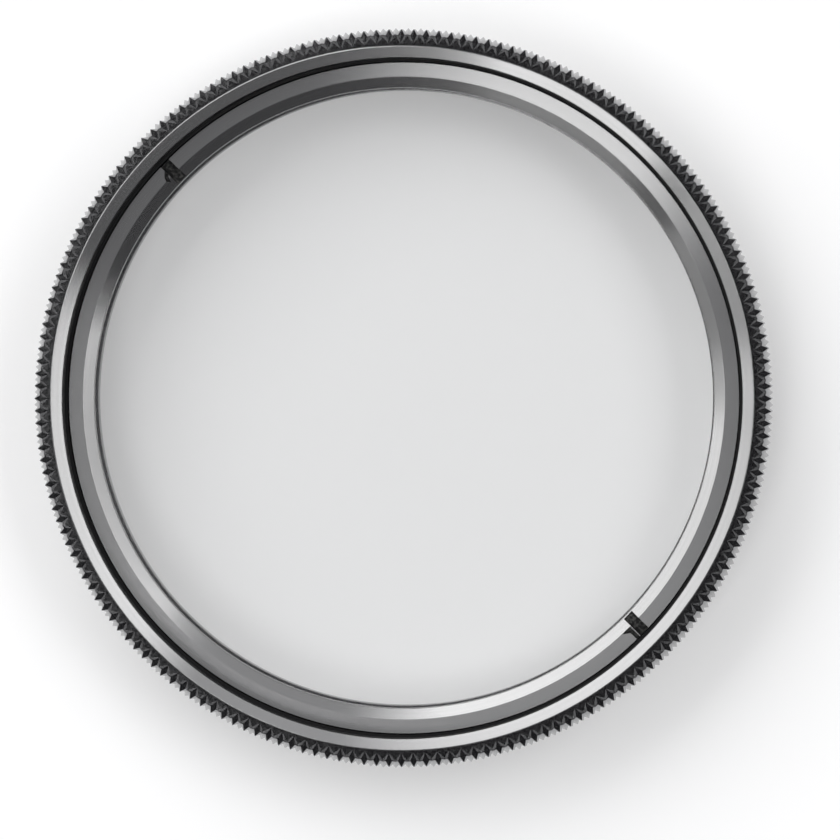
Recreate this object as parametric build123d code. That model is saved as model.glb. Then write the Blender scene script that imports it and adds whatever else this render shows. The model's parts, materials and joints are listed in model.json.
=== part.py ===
from build123d import *
import os
from math import cos, pi, radians, sin, tan

# Screw-in lens filter, lying on its rear end with its front up.
# The optical axis is +Z, z = 0 is the rear end of the male thread, and sizes are in millimetres.
# Radii are chained inwards and outwards from the filter thread, heights upwards from the rear end.

# Filter thread, a screw at the rear and a nut at the front; both are plain cylinders here
thread_diameter = 39.0
thread_pitch = 0.5
male_thread_length = 2.3
male_thread_chamfer = 0.25
relief_depth = 0.32
rear_relief_width = 0.45
front_relief_width = 0.55
front_recess_depth = 2.0

# Rear mouth and the lip that the glass rests on
rear_wall = 0.95
rear_flare_depth = 0.95
lip_thickness = 0.8
lip_width = 1.1

# Glass disc and its pocket
glass_thickness = 1.9
glass_edge_bevel = 0.15
glass_clearance = 0.07
glass_ledge = 0.4
clamp_gap = 0.15

# Retaining ring, its bevelled bore and its two spanner slots
ring_thickness = 0.85
ring_ledge = 0.1
ring_clearance = 0.05
ring_flat_width = 0.81
ring_bevel_width = 0.6
ring_land = 0.25
slot_width = 0.65
slot_depth = 0.45
slot_angle = 135.6

# Rim: a dished front face, a bevel and a diamond knurl
rim_overhang = 1.5
front_face_width = 0.6
front_face_slope = 20.0
edge_break = 0.08
bevel_slope = 45.0
plain_front_bevel = 0.34
plain_rear_bevel = 0.16
knurled_rear_bevel = 0.17
knurl_depth = 0.42
knurl_pitch = 0.7165
knurl_groove_angle = 30.0
knurl_ledge = 0.03

# Radii, from the thread inwards
thread_radius = thread_diameter / 2
thread_height = thread_pitch * cos(radians(30)) * 5 / 8
front_bore_radius = thread_radius - thread_height
ring_bore_radius = front_bore_radius - ring_ledge
ring_radius = ring_bore_radius - ring_clearance
ring_flat_radius = ring_radius - ring_flat_width
ring_inner_radius = ring_flat_radius - ring_bevel_width
glass_bore_radius = ring_bore_radius - glass_ledge
glass_radius = glass_bore_radius - glass_clearance
lip_radius = glass_bore_radius - lip_width

# Radii, from the thread outwards
front_relief_radius = front_bore_radius + relief_depth
edge_radius = front_bore_radius + front_face_width
bevel_radius = edge_radius + edge_break
knurl_tip_radius = thread_radius + rim_overhang
knurl_root_radius = knurl_tip_radius - knurl_depth
seat_radius = knurl_root_radius - knurled_rear_bevel - plain_rear_bevel

# Heights, from the rear end up
lip_top = rear_flare_depth + lip_thickness
glass_top = lip_top + glass_thickness
ring_top = glass_top + ring_thickness
front = ring_top + front_recess_depth
seat = male_thread_length + rear_relief_width
bevel_rise = tan(radians(bevel_slope))

# Knurl: grooves cross on levels, half a cell apart, that alternate by half a pitch
knurl_count = round(2 * pi * knurl_tip_radius / knurl_pitch)
half_cell = knurl_pitch / 2 / tan(radians(knurl_groove_angle))
straight_front = front - edge_break - (knurl_root_radius - bevel_radius) * bevel_rise
straight_rear = seat + (knurl_root_radius - seat_radius) * bevel_rise
straight_steps = max(1, round((straight_front - straight_rear) / half_cell))
level_step = (straight_front - straight_rear) / straight_steps

# Root radius and height of each level, from the front bevel over the straight band to the rear bevel
levels = [(bevel_radius + plain_front_bevel, front - edge_break - plain_front_bevel * bevel_rise)]
for step in range(straight_steps + 1):
    levels.append((knurl_root_radius, straight_front - step * level_step))
levels.append((seat_radius + plain_rear_bevel, seat + plain_rear_bevel * bevel_rise))
last_level = len(levels) - 1


def turned(points):
    """Solid of revolution from its half section, given as (radius, height) points."""
    section = make_face(Polyline(*[(r, 0, z) for r, z in points], close=True))
    return revolve(section, Axis.Z)


def rim_point(radius, place, height):
    """Point at so many pitches round the rim."""
    angle = 2 * pi * place / knurl_count
    return (radius * cos(angle), radius * sin(angle), height)


def crossing(level, place):
    """Bottom of the knurl, where two grooves cross."""
    radius, height = levels[level]
    return rim_point(radius, place, height)


def facet(*corners):
    return Face(Wire.make_polygon(corners, close=True))


def knurl_facets():
    """Rows of four-sided pyramids, and the flat half cells that end the grooves front and rear."""
    facets = []
    for k in range(knurl_count):
        for level in range(1, last_level):
            place = k + (level + 1) % 2 / 2
            tip_height = (levels[level - 1][1] + levels[level + 1][1]) / 2
            tip = rim_point(knurl_tip_radius, place, tip_height)
            corners = [
                crossing(level - 1, place),
                crossing(level, place - 0.5),
                crossing(level + 1, place),
                crossing(level, place + 0.5),
            ]
            for i in range(4):
                facets.append(facet(tip, corners[i - 1], corners[i]))
        facets.append(facet(crossing(0, k), crossing(1, k + 0.5), crossing(0, k + 1)))
        place = k + last_level % 2 / 2
        facets.append(
            facet(
                crossing(last_level, place),
                crossing(last_level, place + 1),
                crossing(last_level - 1, place + 0.5),
            )
        )
    return facets


def knurl_shoulder(level):
    """Narrow flat ring from the turned bevel out to the first or last groove crossings."""
    radius, height = levels[level]
    start = level % 2 / 2
    outline = Wire.make_polygon([crossing(level, k + start) for k in range(knurl_count)], close=True)
    hole = Wire(Edge.make_circle(radius - knurl_ledge, Plane.XY.offset(height)))
    return Face(outline, [hole])


def make_mount_ring():
    """Rim, threads, glass pocket and rear lip, turned in one piece and then knurled."""
    front_level_radius, front_level_height = levels[0]
    rear_level_radius, rear_level_height = levels[last_level]
    rear_relief_radius = thread_radius - relief_depth
    section = [
        (front_level_radius - knurl_ledge, front_level_height),
        (bevel_radius, front - edge_break),
        (edge_radius, front),
        (front_bore_radius, front - front_face_width * tan(radians(front_face_slope))),
        (front_bore_radius, ring_top + front_relief_width),
        (front_relief_radius, ring_top + front_relief_width / 2),
        (front_relief_radius, ring_top),
        (ring_bore_radius, ring_top),
        (ring_bore_radius, glass_top - clamp_gap),
        (glass_bore_radius, glass_top - clamp_gap),
        (glass_bore_radius, lip_top),
        (lip_radius, lip_top),
        (lip_radius, rear_flare_depth),
        (thread_radius - rear_wall, 0),
        (thread_radius - male_thread_chamfer, 0),
        (thread_radius, male_thread_chamfer),
        (thread_radius, male_thread_length),
        (rear_relief_radius, male_thread_length + rear_relief_width / 2),
        (rear_relief_radius, seat),
        (seat_radius, seat),
        (rear_level_radius - knurl_ledge, rear_level_height),
    ]
    lathe_work = Shell.revolve(Polyline(*[(r, 0, z) for r, z in section]), 360, Axis.Z)
    shoulders = [knurl_shoulder(0), knurl_shoulder(last_level)]
    return Solid(Shell(lathe_work.faces() + shoulders + knurl_facets()))


def make_filter_glass():
    """Flat disc with both edges bevelled."""
    return turned(
        [
            (0, lip_top),
            (glass_radius - glass_edge_bevel, lip_top),
            (glass_radius, lip_top + glass_edge_bevel),
            (glass_radius, glass_top - glass_edge_bevel),
            (glass_radius - glass_edge_bevel, glass_top),
            (0, glass_top),
        ]
    )


def make_retaining_ring():
    """Ring with a bevelled bore, slotted across at two opposite places for a spanner."""
    ring = turned(
        [
            (ring_inner_radius, glass_top),
            (ring_radius, glass_top),
            (ring_radius, ring_top),
            (ring_flat_radius, ring_top),
            (ring_inner_radius, glass_top + ring_land),
        ]
    )
    slot = Box(2 * thread_diameter, slot_width, 2 * slot_depth)
    return ring - Pos(0, 0, ring_top) * Rot(0, 0, slot_angle) * slot


parts = {
    "mount_ring": make_mount_ring(),
    "filter_glass": make_filter_glass(),
    "retaining_ring": make_retaining_ring(),
}

os.makedirs("parts", exist_ok=True)
for name, solid in parts.items():
    export_step(solid, f"parts/{name}.step")
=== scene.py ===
"""Screw-in lens filter: a knurled, threaded ring, its glass and its retaining ring, in a small studio.

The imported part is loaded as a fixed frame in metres. Pieces are modelled at one unit to the millimetre,
a size at which fine edges can be rounded safely, and are scaled to metres when they are finished.
"""

import json
import math

import bmesh
import bpy
from mathutils import Matrix, Vector


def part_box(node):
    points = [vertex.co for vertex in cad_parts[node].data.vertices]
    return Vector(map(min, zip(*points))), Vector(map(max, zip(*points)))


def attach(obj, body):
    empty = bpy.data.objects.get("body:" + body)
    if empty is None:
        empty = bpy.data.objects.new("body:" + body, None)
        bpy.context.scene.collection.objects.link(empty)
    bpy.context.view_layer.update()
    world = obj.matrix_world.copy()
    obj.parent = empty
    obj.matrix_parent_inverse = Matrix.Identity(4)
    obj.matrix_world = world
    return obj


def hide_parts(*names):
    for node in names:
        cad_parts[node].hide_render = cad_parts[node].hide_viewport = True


bl_info = {
    "name": "Screw-in lens filter",
    "version": (1, 0, 0),
    "blender": (4, 5, 0),
    "location": "View3D > Sidebar > Lens filter",
    "description": "Models a knurled screw-in lens filter on its packed frame, in a small studio",
    "category": "Object",
}

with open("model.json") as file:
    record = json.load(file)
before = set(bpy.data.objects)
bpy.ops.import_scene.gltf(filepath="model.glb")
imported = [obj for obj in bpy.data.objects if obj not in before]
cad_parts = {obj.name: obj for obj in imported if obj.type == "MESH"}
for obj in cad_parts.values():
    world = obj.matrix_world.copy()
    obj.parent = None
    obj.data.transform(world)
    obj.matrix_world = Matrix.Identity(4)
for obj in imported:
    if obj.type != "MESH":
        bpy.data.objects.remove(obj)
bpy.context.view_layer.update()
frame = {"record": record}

MM = 0.001


def mount_size(mount, size):
    """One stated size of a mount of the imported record, in millimetres."""
    for entry in frame["record"]["mounts"]:
        if entry["name"] == mount:
            return entry["dims"][size]
    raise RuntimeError(f"the packed record has no mount named {mount}")


def outer_radius(node):
    """Radius of a round CAD node on the optical axis, in millimetres."""
    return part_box(node)[1].x / MM


def rear_end(node):
    """Lowest height of a CAD node, in millimetres."""
    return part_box(node)[0].z / MM


def front_end(node):
    """Greatest height of a CAD node, in millimetres."""
    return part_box(node)[1].z / MM


# Radii and heights that the frame gives, in millimetres
THREAD_RADIUS = mount_size("male_thread", "r_mm")
FRONT_BORE_RADIUS = mount_size("front_thread", "r_mm")
KNURL_TIP_RADIUS = outer_radius("mount_ring")
GLASS_RADIUS = outer_radius("filter_glass")
RETAINER_RADIUS = outer_radius("retaining_ring")
FRONT = front_end("mount_ring")
LIP_TOP = rear_end("filter_glass")
GLASS_TOP = front_end("filter_glass")
RETAINER_TOP = front_end("retaining_ring")

# Threads and the wall behind them, in millimetres
MALE_THREAD_LENGTH = 2.3
MALE_THREAD_CHAMFER = 0.25
RELIEF_DEPTH = 0.32
REAR_RELIEF_WIDTH = 0.45
FRONT_RELIEF_WIDTH = 0.55
REAR_WALL = 0.95
REAR_FLARE_DEPTH = 0.95

# Thread form: flank angle, and width and depth of the groove in pitches. The cutter stands out of the crest
# by the overlap, in millimetres
FLANK = math.radians(30)
SCREW_GROOVE_WIDTH = 7 / 8
SCREW_GROOVE_DEPTH = 0.6134
NUT_GROOVE_WIDTH = 3 / 4
NUT_GROOVE_DEPTH = 0.5413
TOOL_OVERLAP = 0.03

# Seats of the glass and of the retaining ring, in millimetres. The lip lies a hair below the glass, because
# two faces in one plane render black
LIP_WIDTH = 1.1
GLASS_CLEARANCE = 0.07
GLASS_BEDDING = 0.01
CLAMP_GAP = 0.15
RETAINER_CLEARANCE = 0.05

# Front face and bevels, in millimetres; a rise is the change in height for each millimetre of radius
FRONT_FACE_WIDTH = 0.6
FRONT_FACE_SLOPE = math.radians(20)
EDGE_BREAK = 0.05
EDGE_BREAK_RISE = math.tan(math.radians(32))
EDGE_BREAK_ROUNDING = EDGE_BREAK / 4
BEVEL_RISE = math.tan(math.radians(38.5))
KNURLED_BEVEL_RISE = math.tan(math.radians(50))
PLAIN_FRONT_BEVEL = 0.14
PLAIN_REAR_BEVEL = 0.16
KNURLED_REAR_BEVEL = 0.17

# Places on the mount ring that follow from these, in millimetres
EDGE_RADIUS = FRONT_BORE_RADIUS + FRONT_FACE_WIDTH
BEVEL_RADIUS = EDGE_RADIUS + EDGE_BREAK
BEVEL_TOP = FRONT - EDGE_BREAK * EDGE_BREAK_RISE
BORE_TOP = FRONT - FRONT_FACE_WIDTH * math.tan(FRONT_FACE_SLOPE)
SEAT = MALE_THREAD_LENGTH + REAR_RELIEF_WIDTH

# Knurl, in millimetres; the tips and shoulders of its front row are given as (radius, height)
STRAIGHT_KNURL_STEPS = 4
FRONT_TIP = (20.88, 5.76)
LAND_REACH = 0.4
LEAF_SHOULDER = (20.52, 5.98)
LEAF_RISE = 0.12  # sets the two shoulders of a leaf apart
WANDER_SEED = 5

# How far the black of the front thread reaches in past the bore, and down beside the retaining ring; beyond
# the thread it is painted shade for the dark gap between the rings
BLACK_SHADE_INWARDS = 0.12
BLACK_SHADE_DOWN = 0.5

# Details of the glass and of the retaining ring, in millimetres
GLASS_EDGE_BEVEL = 0.15
RETAINER_FLAT_WIDTH = 0.81
RETAINER_BEVEL_WIDTH = 0.6
RETAINER_LAND = 0.41
RETAINER_DISH = math.radians(7)
CREASE_SHARPNESS = 3  # times as sharp, between the flat and the bevel, as the other edges

# Spanner slots: their angles round the axis, and the radii that the cutter spans
SLOT_ANGLES = (math.radians(135.4), math.radians(316.1))
SLOT_REACH = (17, 20)

# Nicks where a spanner slipped out, as outlines in (radius, distance from the slot's middle line)
NICK_DEPTH = 0.25
NICKS = (
    [(18.78, 0.3), (18.5, 0.6), (18.27, 0.69), (18.06, 0.52), (18.3, 0.44), (18.5, 0.3)],
    [(19.4, -0.38), (18.27, -0.38), (18.25, -0.98), (18.33, -0.92), (18.55, -0.62), (19.4, -0.6)],
)

# Fineness of the meshes, with distances in millimetres
COLUMNS_PER_TOOTH = 2
ROUND_STEPS = 3
WEAR_STEPS = 2
THREAD_STEPS = 184
SMOOTH_ANGLE = math.radians(20)
NEAR = 1e-3
MERGE_DISTANCE = 1e-4

# Range in which nearly all values of a noise texture lie
NOISE_RANGE = {"From Min": 0.3, "From Max": 0.7}

# Colours of the room from the horizon up, by the sine of the elevation
ROOM = ((0.3, "303032"), (0.5, "505052"), (0.75, "505052"), (0.97, "9e9ea0"))

# Paler wall of the room: its side, as an angle round the optical axis, its colour, and where it fades in, by
# the sine of the elevation and by how squarely a direction points at it
PALE_WALL = math.radians(88)
PALE_WALL_COLOUR = "f2f2f4"
PALE_WALL_FOOT = {"From Min": 0.35, "From Max": 0.7}
PALE_WALL_END = {"From Min": 0.15, "From Max": 0.6}

# Softboxes on the studio's dome: azimuth and elevation in degrees, width and height in metres
DOME_RADIUS = 1.2
SOFTBOXES = {
    "window": (138, 42, 1.7, 0.78),
    "side": (15, 53, 0.97, 0.44),
    "top": (235, 65, 0.36, 0.54),
    "fill": (197, 46, 0.45, 0.6),
}

# Floor, a wide round card, with its radius in metres
FLOOR_RADIUS = 3
FLOOR_CORNERS = 128

# The photograph's frame and where the ring's front edge lies in it, in pixels
PHOTO_SIZE = 840
RING_CENTRE = Vector((400.7, 398.6))
FRONT_BORE_PIXELS = 341.2

# How far off the axis the camera stands, as a share of its distance
CAMERA_LEAN = Vector((0.056, 0.008))


def linear(hex_colour):
    """Linear RGB of an sRGB hex colour."""
    channels = [int(hex_colour[i:i + 2], 16) / 255 for i in (0, 2, 4)]
    return [c / 12.92 if c <= 0.04045 else ((c + 0.055) / 1.055) ** 2.4 for c in channels]


class FilterSizes(bpy.types.PropertyGroup):
    """Sizes of the filter that can be changed by themselves."""

    knurl_count: bpy.props.IntProperty(
        name="Knurl teeth", description="Teeth in one row round the rim", default=184, min=24
    )
    knurl_depth: bpy.props.FloatProperty(
        name="Knurl depth", description="Height of a tooth over the groove crossings",
        default=0.42 * MM, unit="LENGTH", precision=5,
    )
    knurl_wander: bpy.props.FloatProperty(
        name="Knurl wander", description="How far a tooth or crossing strays from its place",
        default=0.018 * MM, unit="LENGTH", precision=6,
    )
    groove_rounding: bpy.props.FloatProperty(
        name="Groove rounding", description="Half width of the rounded bottom of a knurl groove",
        default=0.05 * MM, unit="LENGTH", precision=5,
    )
    ridge_rounding: bpy.props.FloatProperty(
        name="Ridge rounding", description="Half width of the worn edge of a knurl tooth",
        default=0.025 * MM, unit="LENGTH", precision=5,
    )
    edge_rounding: bpy.props.FloatProperty(
        name="Edge rounding", description="Rounding of every turned edge",
        default=0.03 * MM, unit="LENGTH", precision=5,
    )
    thread_pitch: bpy.props.FloatProperty(
        name="Thread pitch", description="Advance of the filter thread in one turn",
        default=0.5 * MM, unit="LENGTH", precision=5,
    )
    slot_width: bpy.props.FloatProperty(
        name="Slot width", description="Width of a spanner slot in the retaining ring",
        default=0.65 * MM, unit="LENGTH", precision=5,
    )
    slot_depth: bpy.props.FloatProperty(
        name="Slot depth", description="Depth of a spanner slot in the retaining ring",
        default=0.4 * MM, unit="LENGTH", precision=5,
    )


class FilterFinishes(bpy.types.PropertyGroup):
    """Colours and polish of the filter's surfaces."""

    chrome: bpy.props.FloatVectorProperty(
        name="Chrome", description="Turned faces of both rings",
        default=linear("a8a8a8"), subtype="COLOR", min=0, max=1,
    )
    chrome_roughness: bpy.props.FloatProperty(
        name="Chrome roughness", description="Dullness of the turned faces",
        default=0.22, subtype="FACTOR", min=0, max=1,
    )
    # The knurl's colour runs from the tooth colour at the tips to the darker groove colour at the bottoms:
    # painted shade
    tooth: bpy.props.FloatVectorProperty(
        name="Knurl tooth", description="Plating on the tips of the knurl",
        default=linear("c0c0c1"), subtype="COLOR", min=0, max=1,
    )
    groove: bpy.props.FloatVectorProperty(
        name="Knurl groove", description="Plating at the bottom of the knurl",
        default=linear("969697"), subtype="COLOR", min=0, max=1,
    )
    # Also painted shade: this black goes on down into the gap between the front thread and the retaining
    # ring
    thread: bpy.props.FloatVectorProperty(
        name="Front thread", description="Blackened thread inside the front",
        default=linear("0e0e0f"), subtype="COLOR", min=0, max=1,
    )
    slot: bpy.props.FloatVectorProperty(
        name="Rubbed slot", description="Patches where a spanner rubbed the black off a slot",
        default=linear("484846"), subtype="COLOR", min=0, max=1,
    )
    glass: bpy.props.FloatVectorProperty(
        name="Glass", description="Tint of the clear glass",
        default=linear("f3f3f3"), subtype="COLOR", min=0, max=1,
    )


class StudioSettings(bpy.types.PropertyGroup):
    """Camera distance, lamps and floor."""

    camera_distance: bpy.props.FloatProperty(
        name="Camera distance", description="From the camera to the front of the ring",
        default=250 * MM, unit="LENGTH",
    )
    window_power: bpy.props.FloatProperty(
        name="Window", description="Power of the wide softbox at the upper left",
        default=9.8, unit="POWER",
    )
    side_power: bpy.props.FloatProperty(
        name="Side", description="Power of the softbox at the right", default=4.05, unit="POWER"
    )
    top_power: bpy.props.FloatProperty(
        name="Top", description="Power of the small softbox above the lower left",
        default=2.3, unit="POWER",
    )
    fill_power: bpy.props.FloatProperty(
        name="Fill", description="Power of the weak card at the left", default=0.75, unit="POWER"
    )
    floor: bpy.props.FloatVectorProperty(
        name="Floor", description="Colour of the paper that the filter lies on",
        default=linear("e9e9e9"), subtype="COLOR", min=0, max=1,
    )
    floor_lift: bpy.props.FloatProperty(
        name="Floor lift", description="Brightness that the paper has where no lamp reaches it",
        default=0.22, subtype="FACTOR", min=0, max=1,
    )


def add_node(tree, kind, inputs=None, **settings):
    """New node with its settings, and with each input set to a value or linked to an output."""
    node = tree.nodes.new(kind)
    for name, value in settings.items():
        setattr(node, name, value)
    for socket, value in (inputs or {}).items():
        if isinstance(value, bpy.types.NodeSocket):
            tree.links.new(value, node.inputs[socket])
        else:
            node.inputs[socket].default_value = value
    return node


def new_material(name):
    """Empty node material and its node tree."""
    material = bpy.data.materials.new(name)
    material.use_nodes = True
    material.node_tree.nodes.clear()
    return material, material.node_tree


def axis_distance(tree):
    """Outputs for the distance of a point from the optical axis, and for its height, both in metres."""
    place = add_node(tree, "ShaderNodeTexCoord")
    axes = add_node(tree, "ShaderNodeSeparateXYZ", {0: place.outputs["Object"]})
    across = add_node(tree, "ShaderNodeCombineXYZ", {"X": axes.outputs["X"], "Y": axes.outputs["Y"]})
    radius = add_node(tree, "ShaderNodeVectorMath", {0: across.outputs[0]}, operation="LENGTH")
    return radius.outputs["Value"], axes.outputs["Z"]


def turned_chrome(name, colour, roughness):
    """Satin chrome plate over lathe-turned brass."""
    # Tool marks run round the axis, so light smears across them into bright and dark sectors
    tool_mark = 0.06 * MM  # real marks are about 0.02 mm apart, too fine to show
    wall_marks = 0.4  # on upright walls the marks lie wider apart
    unevenness = 0.02
    material, tree = new_material(name)
    radius, height = axis_distance(tree)
    across = add_node(
        tree, "ShaderNodeMath", {0: height, 1: wall_marks, 2: radius}, operation="MULTIPLY_ADD"
    )
    marks = add_node(
        tree, "ShaderNodeTexNoise",
        {"W": across.outputs[0], "Scale": 1 / tool_mark, "Detail": 2.0, "Roughness": 0.6},
        noise_dimensions="1D",
    )
    shade = add_node(
        tree, "ShaderNodeMapRange",
        {**NOISE_RANGE, "Value": marks.outputs["Fac"], "To Min": 0.96, "To Max": 1.0},
    )
    plate = add_node(
        tree, "ShaderNodeMix", {"Factor": shade.outputs[0], "A": (0, 0, 0, 1), "B": (*colour, 1)},
        data_type="RGBA",
    )
    dullness = add_node(
        tree, "ShaderNodeMapRange",
        {
            **NOISE_RANGE, "Value": marks.outputs["Fac"],
            "To Min": roughness + unevenness, "To Max": roughness - unevenness,
        },
    )
    bump = add_node(
        tree, "ShaderNodeBump",
        {"Height": marks.outputs["Fac"], "Strength": 0.08, "Distance": 0.002 * MM},
    )
    round_axis = add_node(tree, "ShaderNodeTangent", direction_type="RADIAL", axis="Z")
    metal = add_node(
        tree, "ShaderNodeBsdfPrincipled",
        {
            "Base Color": plate.outputs[2], "Metallic": 1.0, "Roughness": dullness.outputs[0],
            "Anisotropic": 1.0, "Anisotropic Rotation": 0.25, "Normal": bump.outputs[0],
            "Tangent": round_axis.outputs[0],
        },
    )
    add_node(tree, "ShaderNodeOutputMaterial", {"Surface": metal.outputs[0]})
    return material


def knurled_chrome(name, tooth, groove, root_radius):
    """Chrome plate over teeth that a knurling wheel pressed up."""
    # Pressed facets are smooth and a little dimpled. The colour darkens from the tips down into the grooves
    # as painted shade, where the teeth keep the light out
    dimple = 0.2 * MM
    material, tree = new_material(name)
    radius, _ = axis_distance(tree)
    # Painted shade: the colour runs from the groove colour at the root to the tooth colour at the tips
    rise = add_node(
        tree, "ShaderNodeMapRange",
        {"Value": radius, "From Min": root_radius * MM, "From Max": KNURL_TIP_RADIUS * MM},
    )
    plate = add_node(
        tree, "ShaderNodeMix",
        {"Factor": rise.outputs[0], "A": (*groove, 1), "B": (*tooth, 1)}, data_type="RGBA",
    )
    place = add_node(tree, "ShaderNodeTexCoord")
    dimples = add_node(
        tree, "ShaderNodeTexNoise",
        {"Vector": place.outputs["Object"], "Scale": 1 / dimple, "Detail": 2.0},
    )
    dullness = add_node(
        tree, "ShaderNodeMapRange",
        {**NOISE_RANGE, "Value": dimples.outputs["Fac"], "To Min": 0.14, "To Max": 0.22},
    )
    bump = add_node(
        tree, "ShaderNodeBump",
        {"Height": dimples.outputs["Fac"], "Strength": 0.3, "Distance": 0.01 * MM},
    )
    metal = add_node(
        tree, "ShaderNodeBsdfPrincipled",
        {
            "Base Color": plate.outputs[2], "Metallic": 1.0, "Roughness": dullness.outputs[0],
            "Normal": bump.outputs[0],
        },
    )
    add_node(tree, "ShaderNodeOutputMaterial", {"Surface": metal.outputs[0]})
    return material


def matt_black(name, colour, rubbed):
    """Chemically blackened brass, which throws no stray light into the lens; in the front bore the black is
    also painted shade for the dark gap beside the retaining ring.
    """
    # A matt black coat, mottled where it is rubbed thin
    grain = 0.15 * MM
    material, tree = new_material(name)
    place = add_node(tree, "ShaderNodeTexCoord")
    wear = add_node(
        tree, "ShaderNodeTexNoise",
        {"Vector": place.outputs["Object"], "Scale": 1 / grain, "Detail": 3.0},
    )
    dullness = add_node(
        tree, "ShaderNodeMapRange",
        {**NOISE_RANGE, "Value": wear.outputs["Fac"], "To Min": 0.4, "To Max": 0.6},
    )
    bare = add_node(
        tree, "ShaderNodeMapRange", {"Value": wear.outputs["Fac"], "From Min": 0.45, "From Max": 0.65}
    )
    black = add_node(
        tree, "ShaderNodeMix",
        {"Factor": bare.outputs[0], "A": (*colour, 1), "B": (*rubbed, 1)}, data_type="RGBA",
    )
    coat = add_node(
        tree, "ShaderNodeBsdfPrincipled",
        {"Base Color": black.outputs[2], "Metallic": 0.6, "Roughness": dullness.outputs[0]},
    )
    add_node(tree, "ShaderNodeOutputMaterial", {"Surface": coat.outputs[0]})
    return material


def coated_glass(name, colour):
    """Polished crown glass with one quarter-wave coating of magnesium fluoride."""
    # Clear, with a weak reflection; lamps shine through it onto the floor
    material, tree = new_material(name)
    glass = add_node(
        tree, "ShaderNodeBsdfPrincipled",
        {
            "Base Color": (*colour, 1), "Roughness": 0.0, "IOR": 1.52, "Transmission Weight": 1.0,
            "Thin Film Thickness": 100.0, "Thin Film IOR": 1.38,
        },
    )
    clear = add_node(tree, "ShaderNodeBsdfTransparent", {"Color": (*colour, 1)})
    path = add_node(tree, "ShaderNodeLightPath")
    lit = add_node(
        tree, "ShaderNodeMath",
        {0: path.outputs["Is Shadow Ray"], 1: path.outputs["Is Diffuse Ray"]}, operation="MAXIMUM",
    )
    mixed = add_node(
        tree, "ShaderNodeMixShader", {0: lit.outputs[0], 1: glass.outputs[0], 2: clear.outputs[0]}
    )
    add_node(tree, "ShaderNodeOutputMaterial", {"Surface": mixed.outputs[0]})
    return material


def floor_paper(name, colour, lift):
    """Smooth white card."""
    # Matt and even; the lift keeps it white round the soft shadow, in reflections and through glass too
    material, tree = new_material(name)
    card = add_node(tree, "ShaderNodeBsdfDiffuse", {"Color": (*colour, 1)})
    path = add_node(tree, "ShaderNodeLightPath")
    seen = add_node(
        tree, "ShaderNodeMath",
        {0: path.outputs["Is Camera Ray"], 1: path.outputs["Is Glossy Ray"]}, operation="MAXIMUM",
    )
    seen_or_through = add_node(
        tree, "ShaderNodeMath",
        {0: seen.outputs[0], 1: path.outputs["Is Transmission Ray"]}, operation="MAXIMUM",
    )
    strength = add_node(
        tree, "ShaderNodeMath", {0: seen_or_through.outputs[0], 1: lift}, operation="MULTIPLY"
    )
    glow = add_node(
        tree, "ShaderNodeEmission", {"Color": (1, 1, 1, 1), "Strength": strength.outputs[0]}
    )
    both = add_node(tree, "ShaderNodeAddShader", {0: card.outputs[0], 1: glow.outputs[0]})
    add_node(tree, "ShaderNodeOutputMaterial", {"Surface": both.outputs[0]})
    return material


def deselect_everything():
    """Object mode with nothing selected."""
    if bpy.context.object and bpy.context.object.mode != "OBJECT":
        bpy.ops.object.mode_set(mode="OBJECT")
    bpy.ops.object.select_all(action="DESELECT")


def make_active(piece):
    """Selects one object alone and makes it the active one."""
    deselect_everything()
    piece.select_set(True)
    bpy.context.view_layer.objects.active = piece


def draw_outline(name, corners):
    """New object in edit mode: one flat face with the given corners."""
    deselect_everything()
    bpy.ops.mesh.primitive_plane_add(size=1)
    piece = bpy.context.object
    piece.name = name
    piece.data.name = name
    bpy.ops.object.mode_set(mode="EDIT")
    bpy.ops.mesh.select_mode(type="VERT")
    bpy.ops.mesh.merge(type="CENTER")
    bpy.ops.transform.translate(value=corners[0])
    for corner, following in zip(corners, corners[1:]):
        step = Vector(following) - Vector(corner)
        bpy.ops.mesh.extrude_region_move(TRANSFORM_OT_translate={"value": step})
    bpy.ops.mesh.select_all(action="SELECT")
    bpy.ops.mesh.edge_face_add()
    return piece


def draw_section(name, corners):
    """New object in edit mode: a half section through the axis, from (radius, height) corners."""
    return draw_outline(name, [(radius, 0, height) for radius, height in corners])


def select_only(piece, kind, wanted):
    """Selects, in edit mode, the vertices or the faces that pass the test and nothing else."""
    bpy.ops.mesh.select_mode(type=kind)
    bpy.ops.mesh.select_all(action="DESELECT")
    shape = bmesh.from_edit_mesh(piece.data)
    shape.verts.index_update()
    for element in shape.verts if kind == "VERT" else shape.faces:
        if wanted(element):
            element.select_set(True)
    shape.select_flush_mode()
    bmesh.update_edit_mesh(piece.data)


def apply_modifier(piece, kind, **settings):
    """Adds a modifier with its settings to the active object and applies it."""
    modifier = piece.modifiers.new(kind, kind)
    for name, value in settings.items():
        setattr(modifier, name, value)
    bpy.ops.object.modifier_apply(modifier=modifier.name)


def round_section(piece, corners, rounding):
    """Rounds the given corners of a section."""
    def wanted(vertex):
        place = Vector((vertex.co.x, vertex.co.z))
        return any((place - Vector(corner)).length < NEAR for corner in corners)

    select_only(piece, "VERT", wanted)
    bpy.ops.mesh.bevel(affect="VERTICES", offset=rounding, segments=ROUND_STEPS)


def spin_section(piece, steps):
    """Turns a section round the optical axis into a closed mesh, still in edit mode."""
    bpy.ops.mesh.select_all(action="SELECT")
    bpy.ops.mesh.delete(type="ONLY_FACE")
    bpy.ops.mesh.select_all(action="SELECT")
    bpy.ops.mesh.spin(steps=steps, angle=2 * math.pi, center=(0, 0, 0), axis=(0, 0, 1))
    bpy.ops.mesh.select_all(action="SELECT")
    bpy.ops.mesh.remove_doubles(threshold=MERGE_DISTANCE)
    bpy.ops.mesh.normals_make_consistent(inside=False)


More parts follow.
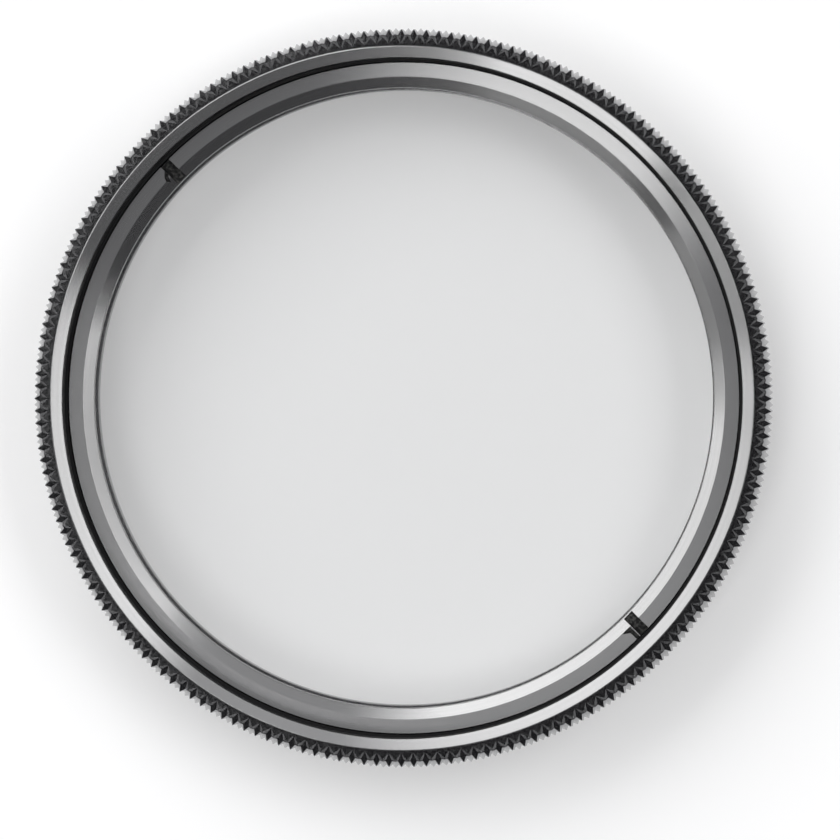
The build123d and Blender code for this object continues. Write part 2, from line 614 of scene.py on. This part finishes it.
def cut_away(piece, tool):
    """Cuts one closed object out of another, gives the cut the tool's material and removes the tool."""
    make_active(piece)
    apply_modifier(
        piece, "BOOLEAN", operation="DIFFERENCE", object=tool, solver="MANIFOLD", material_mode="TRANSFER"
    )
    bpy.data.meshes.remove(tool.data)


def finish_piece(piece, node):
    """Smooths a piece's shading, scales it to metres and puts it in the place of its CAD node."""
    # Weighted normals keep the turned faces flat beside their rounded edges. They are set while the piece
    # is large, because at its size in metres the areas of its faces are too small to count
    make_active(piece)
    bpy.ops.object.shade_smooth_by_angle(angle=SMOOTH_ANGLE)
    turned = piece.vertex_groups.new(name="turned")
    turned_faces = [face for face in piece.data.polygons if face.material_index == 0]
    turned.add([i for face in turned_faces for i in face.vertices], 1, "REPLACE")
    apply_modifier(piece, "WEIGHTED_NORMAL", keep_sharp=True, vertex_group=turned.name)
    bpy.ops.transform.resize(value=(MM, MM, MM), center_override=(0, 0, 0))
    bpy.ops.object.transform_apply(location=True, rotation=True, scale=True)
    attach(piece, "root")
    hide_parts(node)


def knurl_levels(depth):
    """Root radius and height of each ring of groove crossings, from the front to the rear."""
    root = KNURL_TIP_RADIUS - depth
    start_radius = BEVEL_RADIUS + PLAIN_FRONT_BEVEL
    start_height = BEVEL_TOP - PLAIN_FRONT_BEVEL * BEVEL_RISE
    straight_front = start_height - (root - start_radius) * KNURLED_BEVEL_RISE
    straight_rear = SEAT + (PLAIN_REAR_BEVEL + KNURLED_REAR_BEVEL) * BEVEL_RISE
    step = (straight_front - straight_rear) / STRAIGHT_KNURL_STEPS
    levels = [(start_radius, start_height)]
    levels += [(root, straight_front - i * step) for i in range(STRAIGHT_KNURL_STEPS + 1)]
    levels.append((root - KNURLED_REAR_BEVEL, SEAT + PLAIN_REAR_BEVEL * BEVEL_RISE))
    return levels


def mount_ring_section(levels):
    """Corners of the mount ring's half section, from the front bevel inwards and back round the rim."""
    front_relief_radius = FRONT_BORE_RADIUS + RELIEF_DEPTH
    retainer_bore = RETAINER_RADIUS + RETAINER_CLEARANCE
    glass_bore = GLASS_RADIUS + GLASS_CLEARANCE
    lip_radius = glass_bore - LIP_WIDTH
    rear_relief_radius = THREAD_RADIUS - RELIEF_DEPTH
    return [
        (BEVEL_RADIUS, BEVEL_TOP),
        (EDGE_RADIUS, FRONT),
        (FRONT_BORE_RADIUS, BORE_TOP),
        (FRONT_BORE_RADIUS, RETAINER_TOP + FRONT_RELIEF_WIDTH),
        (front_relief_radius, RETAINER_TOP + FRONT_RELIEF_WIDTH / 2),
        (front_relief_radius, RETAINER_TOP),
        (retainer_bore, RETAINER_TOP),
        (retainer_bore, GLASS_TOP - CLAMP_GAP),
        (glass_bore, GLASS_TOP - CLAMP_GAP),
        (glass_bore, LIP_TOP - GLASS_BEDDING),
        (lip_radius, LIP_TOP - GLASS_BEDDING),
        (lip_radius, REAR_FLARE_DEPTH),
        (THREAD_RADIUS - REAR_WALL, 0),
        (THREAD_RADIUS - MALE_THREAD_CHAMFER, 0),
        (THREAD_RADIUS, MALE_THREAD_CHAMFER),
        (THREAD_RADIUS, MALE_THREAD_LENGTH),
        (rear_relief_radius, MALE_THREAD_LENGTH + REAR_RELIEF_WIDTH / 2),
        (rear_relief_radius, SEAT),
        (levels[-1][0] - PLAIN_REAR_BEVEL, SEAT),
        *reversed(levels),
    ]


def knurl_places(piece, levels, columns):
    """Level and column of every vertex on the knurl's grid, by the vertex's index."""
    places = {}
    for vertex in bmesh.from_edit_mesh(piece.data).verts:
        radius = vertex.co.xy.length
        for level, (root, height) in enumerate(levels):
            if abs(radius - root) < NEAR and abs(vertex.co.z - height) < NEAR:
                turn = math.atan2(vertex.co.y, vertex.co.x) / (2 * math.pi)
                places[vertex.index] = (level, round(turn * columns) % columns)
    return places


def move_circle(piece, target):
    """Moves the selected vertices, all on one circle round the axis, to another radius and height."""
    radius, height = target
    place = next(v.co for v in bmesh.from_edit_mesh(piece.data).verts if v.select).copy()
    spread = radius / place.xy.length
    bpy.ops.transform.resize(value=(spread, spread, 1), center_override=(0, 0, 0))
    bpy.ops.transform.translate(value=(0, 0, height - place.z))


def plane_front_row(piece, levels, places, tips, grid_size, teeth):
    """Planes each front tooth off into a leaf, and the land between two teeth into a triangle."""
    def kinds(face):
        return sorted((places.get(v.index, (-1, 0))[0], v.index in tips) for v in face.verts)

    select_only(piece, "FACE", lambda face: kinds(face) == [(0, False), (0, False), (1, False)])
    bpy.ops.mesh.dissolve_faces()
    bpy.ops.mesh.poke(offset=0, center_mode="MEDIAN")
    select_only(piece, "VERT", lambda vertex: vertex.index >= grid_size)
    move_circle(piece, (levels[0][0] + LAND_REACH, levels[0][1] - LAND_REACH * BEVEL_RISE))
    select_only(piece, "FACE", lambda face: kinds(face) == [(0, False), (1, False), (1, True)])
    bpy.ops.mesh.poke(offset=LEAF_RISE, center_mode="MEDIAN")
    select_only(piece, "VERT", lambda vertex: vertex.index >= grid_size + teeth)
    move_circle(piece, LEAF_SHOULDER)


def wear_knurl(piece, places, crossings, tips, last, sizes):
    """Wears the edges behind the front row, more at the bottom of a groove than along a ridge."""
    shape = bmesh.from_edit_mesh(piece.data)
    shape.verts.index_update()
    weight = shape.edges.layers.float.new("bevel_weight_edge")
    for edge in shape.edges:
        ends = {vertex.index for vertex in edge.verts}
        depths = [places.get(i, (0, 0))[0] for i in ends]
        if ends <= crossings and min(depths) >= 2 and max(depths) < last:
            edge[weight] = 1.0
        elif len(ends & tips) == 1 and len(ends & crossings) == 1 and 2 <= max(depths) < last:
            edge[weight] = sizes.ridge_rounding / sizes.groove_rounding
    bmesh.update_edit_mesh(piece.data)
    make_active(piece)
    apply_modifier(
        piece, "BEVEL", limit_method="WEIGHT", width=sizes.groove_rounding / MM, segments=WEAR_STEPS
    )


def knurl_rim(piece, levels, sizes):
    """Presses a diamond knurl into the rim by raising every other point of its grid."""
    # A turn through object mode brings the mesh's own count and indices up to date
    bpy.ops.object.mode_set(mode="OBJECT")
    bpy.ops.object.mode_set(mode="EDIT")
    grid_size = len(piece.data.vertices)
    last = len(levels) - 1
    places = knurl_places(piece, levels, sizes.knurl_count * COLUMNS_PER_TOOTH)
    crossings = {i for i, (level, column) in places.items() if (level + column) % 2 == 0}
    tips = {i for i, (level, _) in places.items() if i not in crossings and 0 < level < last}
    for level in range(1, last):
        row = {i for i in tips if places[i][0] == level}
        tip = (KNURL_TIP_RADIUS, (levels[level - 1][1] + levels[level + 1][1]) / 2)
        select_only(piece, "VERT", lambda vertex: vertex.index in row)
        move_circle(piece, FRONT_TIP if level == 1 else tip)
    select_only(piece, "VERT", lambda vertex: vertex.index in crossings)
    bpy.ops.mesh.vert_connect()
    plane_front_row(piece, levels, places, tips, grid_size, sizes.knurl_count)
    loose = {i for i in crossings if 0 < places[i][0] < last} | tips
    select_only(piece, "VERT", lambda vertex: vertex.index in loose or vertex.index >= grid_size)
    bpy.ops.transform.vertex_random(
        offset=sizes.knurl_wander / MM, uniform=0.0, normal=0.0, seed=WANDER_SEED
    )
    wear_knurl(piece, places, crossings, tips, last, sizes)


def thread_tool(name, crest, tip, width, start, turns, pitch):
    """Closed helical cutter for a right-hand thread, from the crest's radius to the groove's bottom."""
    side = math.copysign(1, tip - crest)
    depth = abs(tip - crest)
    broad = width / 2 + TOOL_OVERLAP * math.tan(FLANK)
    narrow = width / 2 - depth * math.tan(FLANK)
    base = crest - side * TOOL_OVERLAP
    tool = draw_section(
        name,
        [(base, start - broad), (base, start + broad), (tip, start + narrow), (tip, start - narrow)],
    )
    bpy.ops.mesh.delete(type="ONLY_FACE")
    make_active(tool)
    steps = round(THREAD_STEPS * turns)
    apply_modifier(
        tool, "SCREW", axis="Z", angle=2 * math.pi * turns, screw_offset=pitch * turns,
        steps=steps, render_steps=steps, use_merge_vertices=False,
    )
    bpy.ops.object.mode_set(mode="EDIT")
    bpy.ops.mesh.select_all(action="SELECT")
    bpy.ops.mesh.fill_holes(sides=4)
    bpy.ops.mesh.select_all(action="SELECT")
    bpy.ops.mesh.normals_make_consistent(inside=False)
    bpy.ops.object.mode_set(mode="OBJECT")
    return tool


def cut_threads(piece, pitch):
    """Cuts the rear thread, open at its free end, and the front one, which stops below the bright face."""
    # The rear groove runs out a third of the way across the relief
    screw_depth = SCREW_GROOVE_DEPTH * pitch
    run_out = MALE_THREAD_LENGTH + REAR_RELIEF_WIDTH / 3
    screw_turns = math.ceil(run_out / pitch) + 1
    screw = thread_tool(
        "rear_thread_tool", THREAD_RADIUS, THREAD_RADIUS - screw_depth, SCREW_GROOVE_WIDTH * pitch,
        run_out - screw_turns * pitch, screw_turns, pitch,
    )
    cut_away(piece, screw)
    nut_width = NUT_GROOVE_WIDTH * pitch
    start = RETAINER_TOP + FRONT_RELIEF_WIDTH - nut_width / 2
    end = BORE_TOP - nut_width / 2 - 2 * TOOL_OVERLAP
    nut = thread_tool(
        "front_thread_tool", FRONT_BORE_RADIUS, FRONT_BORE_RADIUS + NUT_GROOVE_DEPTH * pitch, nut_width,
        start, (end - start) / pitch, pitch,
    )
    cut_away(piece, nut)


def dress(piece, *materials):
    """Gives a piece these materials alone, in this order; a cut leaves an empty slot behind."""
    piece.data.materials.clear()
    for material in materials:
        piece.data.materials.append(material)


def assign_material(piece, slot_index, wanted):
    """Gives the faces that pass the test the material of one slot."""
    make_active(piece)
    bpy.ops.object.mode_set(mode="EDIT")
    select_only(piece, "FACE", wanted)
    piece.active_material_index = slot_index
    bpy.ops.object.material_slot_assign()
    bpy.ops.object.mode_set(mode="OBJECT")


class LENSFILTER_OT_mount_ring(bpy.types.Operator):
    """Turn the mount ring, knurl its rim and cut its two threads"""

    bl_idname = "lensfilter.mount_ring"
    bl_label = "Mount ring"

    def execute(self, context):
        sizes = context.scene.filter_sizes
        finishes = context.scene.filter_finishes
        depth = sizes.knurl_depth / MM
        levels = knurl_levels(depth)
        section = mount_ring_section(levels)
        outer_edge = section[:2]
        ring = draw_section("mount_ring_turned", section)
        round_section(ring, outer_edge, EDGE_BREAK_ROUNDING)
        other_edges = [corner for corner in section if corner not in outer_edge + levels]
        round_section(ring, other_edges, sizes.edge_rounding / MM)
        spin_section(ring, sizes.knurl_count * COLUMNS_PER_TOOTH)
        knurl_rim(ring, levels, sizes)
        cut_threads(ring, sizes.thread_pitch / MM)
        dress(
            ring,
            turned_chrome("satin_chrome_turned", finishes.chrome, finishes.chrome_roughness),
            knurled_chrome(
                "satin_chrome_knurled", finishes.tooth, finishes.groove, KNURL_TIP_RADIUS - depth
            ),
            matt_black("blackened_front_thread", finishes.thread, finishes.thread),
        )
        knurl_rear = levels[-1][1]
        bore_inside = FRONT_BORE_RADIUS - BLACK_SHADE_INWARDS
        relief_outside = FRONT_BORE_RADIUS + RELIEF_DEPTH + NEAR

        def on_knurl(face):
            place = face.calc_center_median()
            return place.xy.length > BEVEL_RADIUS + EDGE_BREAK_ROUNDING and place.z > knurl_rear

        # The front thread is black, and the same black goes on, as painted shade, in onto the bore's edge
        # and down into the crevice beside the retaining ring
        def in_black_bore_and_gap_shade(face):
            place = face.calc_center_median()
            across = bore_inside < place.xy.length < relief_outside
            return across and RETAINER_TOP - BLACK_SHADE_DOWN < place.z < BORE_TOP

        assign_material(ring, 1, on_knurl)
        assign_material(ring, 2, in_black_bore_and_gap_shade)
        finish_piece(ring, "mount_ring")
        return {"FINISHED"}


class LENSFILTER_OT_filter_glass(bpy.types.Operator):
    """Grind the glass disc and bevel its edge"""

    bl_idname = "lensfilter.filter_glass"
    bl_label = "Filter glass"

    def execute(self, context):
        sizes = context.scene.filter_sizes
        finishes = context.scene.filter_finishes
        flat_radius = GLASS_RADIUS - GLASS_EDGE_BEVEL
        section = [
            (0, LIP_TOP),
            (flat_radius, LIP_TOP),
            (GLASS_RADIUS, LIP_TOP + GLASS_EDGE_BEVEL),
            (GLASS_RADIUS, GLASS_TOP - GLASS_EDGE_BEVEL),
            (flat_radius, GLASS_TOP),
            (0, GLASS_TOP),
        ]
        glass = draw_section("filter_glass_polished", section)
        round_section(glass, section[1:-1], sizes.edge_rounding / MM)
        spin_section(glass, sizes.knurl_count)
        # The spin leaves one wire along the axis
        bpy.ops.mesh.select_all(action="SELECT")
        bpy.ops.mesh.delete_loose(use_verts=False, use_edges=True, use_faces=False)
        dress(glass, coated_glass("coated_optical_glass", finishes.glass))
        finish_piece(glass, "filter_glass")
        return {"FINISHED"}


def cut_outline(ring, angle, outline, depth, coat):
    """Cuts an outline, given along and across a slot's middle line, down into the ring's top."""
    turn = Matrix.Rotation(angle, 3, "Z")
    corners = [turn @ Vector((along, across, RETAINER_TOP - depth)) for along, across in outline]
    tool = draw_outline("slot_tool", corners)
    bpy.ops.mesh.extrude_region_move(TRANSFORM_OT_translate={"value": (0, 0, 2 * depth)})
    bpy.ops.mesh.select_all(action="SELECT")
    bpy.ops.mesh.normals_make_consistent(inside=False)
    bpy.ops.object.mode_set(mode="OBJECT")
    dress(tool, coat)
    cut_away(ring, tool)


class LENSFILTER_OT_retaining_ring(bpy.types.Operator):
    """Turn the retaining ring and cut its two spanner slots"""

    bl_idname = "lensfilter.retaining_ring"
    bl_label = "Retaining ring"

    def execute(self, context):
        sizes = context.scene.filter_sizes
        finishes = context.scene.filter_finishes
        flat_radius = RETAINER_RADIUS - RETAINER_FLAT_WIDTH
        inner_radius = flat_radius - RETAINER_BEVEL_WIDTH
        section = [
            (inner_radius, GLASS_TOP),
            (RETAINER_RADIUS, GLASS_TOP),
            (RETAINER_RADIUS, RETAINER_TOP),
            (flat_radius, RETAINER_TOP - RETAINER_FLAT_WIDTH * math.tan(RETAINER_DISH)),
            (inner_radius, GLASS_TOP + RETAINER_LAND),
        ]
        crease = section[3]
        rounding = sizes.edge_rounding / MM
        ring = draw_section("retaining_ring_turned", section)
        round_section(ring, [corner for corner in section if corner != crease], rounding)
        round_section(ring, [crease], rounding / CREASE_SHARPNESS)
        spin_section(ring, sizes.knurl_count * COLUMNS_PER_TOOTH)
        bpy.ops.object.mode_set(mode="OBJECT")
        dress(ring, turned_chrome("satin_chrome_retainer", finishes.chrome, finishes.chrome_roughness))
        coat = matt_black("blackened_slot", finishes.thread, finishes.slot)
        side = sizes.slot_width / MM / 2
        near, far = SLOT_REACH
        slot = [(near, -side), (far, -side), (far, side), (near, side)]
        for angle, nick in zip(SLOT_ANGLES, NICKS):
            cut_outline(ring, angle, slot, sizes.slot_depth / MM, coat)
            cut_outline(ring, angle, nick, NICK_DEPTH, coat)
        finish_piece(ring, "retaining_ring")
        return {"FINISHED"}


def add_softbox(name, azimuth, elevation, width, height, power):
    """Rectangular lamp on the studio's dome, facing the filter; angles are in degrees."""
    a = math.radians(azimuth)
    e = math.radians(elevation)
    direction = Vector((math.cos(a) * math.cos(e), math.sin(a) * math.cos(e), math.sin(e)))
    turn = direction.to_track_quat("Z", "Y").to_euler()
    bpy.ops.object.light_add(type="AREA", location=direction * DOME_RADIUS, rotation=turn)
    lamp = bpy.context.object
    lamp.name = name
    lamp.data.shape = "RECTANGLE"
    lamp.data.size = width
    lamp.data.size_y = height
    lamp.data.energy = power


def light_room():
    """Dim room that is dark low down and has one paler side."""
    world = bpy.data.worlds.new("studio_room")
    world.use_nodes = True
    tree = world.node_tree
    tree.nodes.clear()
    direction = add_node(tree, "ShaderNodeTexCoord").outputs["Generated"]
    axes = add_node(tree, "ShaderNodeSeparateXYZ", {0: direction})
    air = add_node(tree, "ShaderNodeValToRGB", {"Fac": axes.outputs["Z"]})
    for sine, colour in ROOM:
        air.color_ramp.elements.new(sine).color = (*linear(colour), 1)
    for element in (air.color_ramp.elements[-1], air.color_ramp.elements[0]):
        air.color_ramp.elements.remove(element)
    pale = Vector((math.cos(PALE_WALL), math.sin(PALE_WALL), 0))
    towards = add_node(tree, "ShaderNodeVectorMath", {0: direction, 1: pale}, operation="DOT_PRODUCT")
    foot = add_node(tree, "ShaderNodeMapRange", {**PALE_WALL_FOOT, "Value": axes.outputs["Z"]})
    end = add_node(tree, "ShaderNodeMapRange", {**PALE_WALL_END, "Value": towards.outputs["Value"]})
    share = add_node(
        tree, "ShaderNodeMath", {0: end.outputs[0], 1: foot.outputs[0]}, operation="MULTIPLY"
    )
    walls = add_node(
        tree, "ShaderNodeMix",
        {
            "Factor": share.outputs[0], "A": air.outputs["Color"],
            "B": (*linear(PALE_WALL_COLOUR), 1),
        },
        data_type="RGBA",
    )
    background = add_node(tree, "ShaderNodeBackground", {"Color": walls.outputs[2], "Strength": 1.0})
    add_node(tree, "ShaderNodeOutputWorld", {"Surface": background.outputs[0]})
    bpy.context.scene.world = world


def add_camera(distance):
    """Camera over the filter's front, a little off its axis, with the photograph's frame."""
    pixel = FRONT_BORE_RADIUS / FRONT_BORE_PIXELS * MM
    middle = Vector((PHOTO_SIZE / 2, PHOTO_SIZE / 2)) - RING_CENTRE
    aim = Vector((middle.x * pixel, -middle.y * pixel, FRONT * MM))
    place = Vector((CAMERA_LEAN.x * distance, CAMERA_LEAN.y * distance, FRONT * MM + distance))
    forward = (aim - place).normalized()
    right = forward.cross(Vector((0, 1, 0))).normalized()
    turn = Matrix((right, right.cross(forward), -forward)).transposed().to_euler()
    bpy.ops.object.camera_add(location=place, rotation=turn)
    camera = bpy.context.object
    camera.data.angle = 2 * math.atan(PHOTO_SIZE * pixel / 2 / (aim - place).length)
    camera.data.clip_start = 10 * MM
    bpy.context.scene.camera = camera


class LENSFILTER_OT_studio(bpy.types.Operator):
    """Lay the white floor and set the softboxes, the dim room and the camera"""

    bl_idname = "lensfilter.studio"
    bl_label = "Studio"

    def execute(self, context):
        studio = context.scene.filter_studio
        context.scene.view_settings.view_transform = "Standard"
        deselect_everything()
        bpy.ops.mesh.primitive_circle_add(vertices=FLOOR_CORNERS, radius=FLOOR_RADIUS, fill_type="NGON")
        floor = context.object
        floor.name = "studio_floor"
        floor.data.materials.append(floor_paper("white_card", studio.floor, studio.floor_lift))
        for name, placing in SOFTBOXES.items():
            add_softbox(name, *placing, getattr(studio, f"{name}_power"))
        light_room()
        add_camera(studio.camera_distance)
        return {"FINISHED"}


class LENSFILTER_PT_panel(bpy.types.Panel):
    """Buttons and settings of the lens filter"""

    bl_idname = "LENSFILTER_PT_panel"
    bl_label = "Lens filter"
    bl_space_type = "VIEW_3D"
    bl_region_type = "UI"
    bl_category = "Lens filter"

    def draw(self, context):
        for operator in OPERATORS:
            self.layout.operator(operator.bl_idname)
        for settings in GROUPS:
            group = getattr(context.scene, settings)
            box = self.layout.box()
            for name in group.__annotations__:
                box.prop(group, name)


GROUPS = {
    "filter_sizes": FilterSizes,
    "filter_finishes": FilterFinishes,
    "filter_studio": StudioSettings,
}
OPERATORS = (
    LENSFILTER_OT_mount_ring,
    LENSFILTER_OT_filter_glass,
    LENSFILTER_OT_retaining_ring,
    LENSFILTER_OT_studio,
)


def register():
    for cls in (*GROUPS.values(), *OPERATORS, LENSFILTER_PT_panel):
        bpy.utils.register_class(cls)
    for name, group in GROUPS.items():
        setattr(bpy.types.Scene, name, bpy.props.PointerProperty(type=group))


def unregister():
    for name in GROUPS:
        delattr(bpy.types.Scene, name)
    for cls in (LENSFILTER_PT_panel, *reversed(OPERATORS), *GROUPS.values()):
        bpy.utils.unregister_class(cls)


def main():
    """Builds the pieces and the studio."""
    register()
    bpy.ops.lensfilter.mount_ring()
    bpy.ops.lensfilter.filter_glass()
    bpy.ops.lensfilter.retaining_ring()
    bpy.ops.lensfilter.studio()


if __name__ == "__main__":
    main()
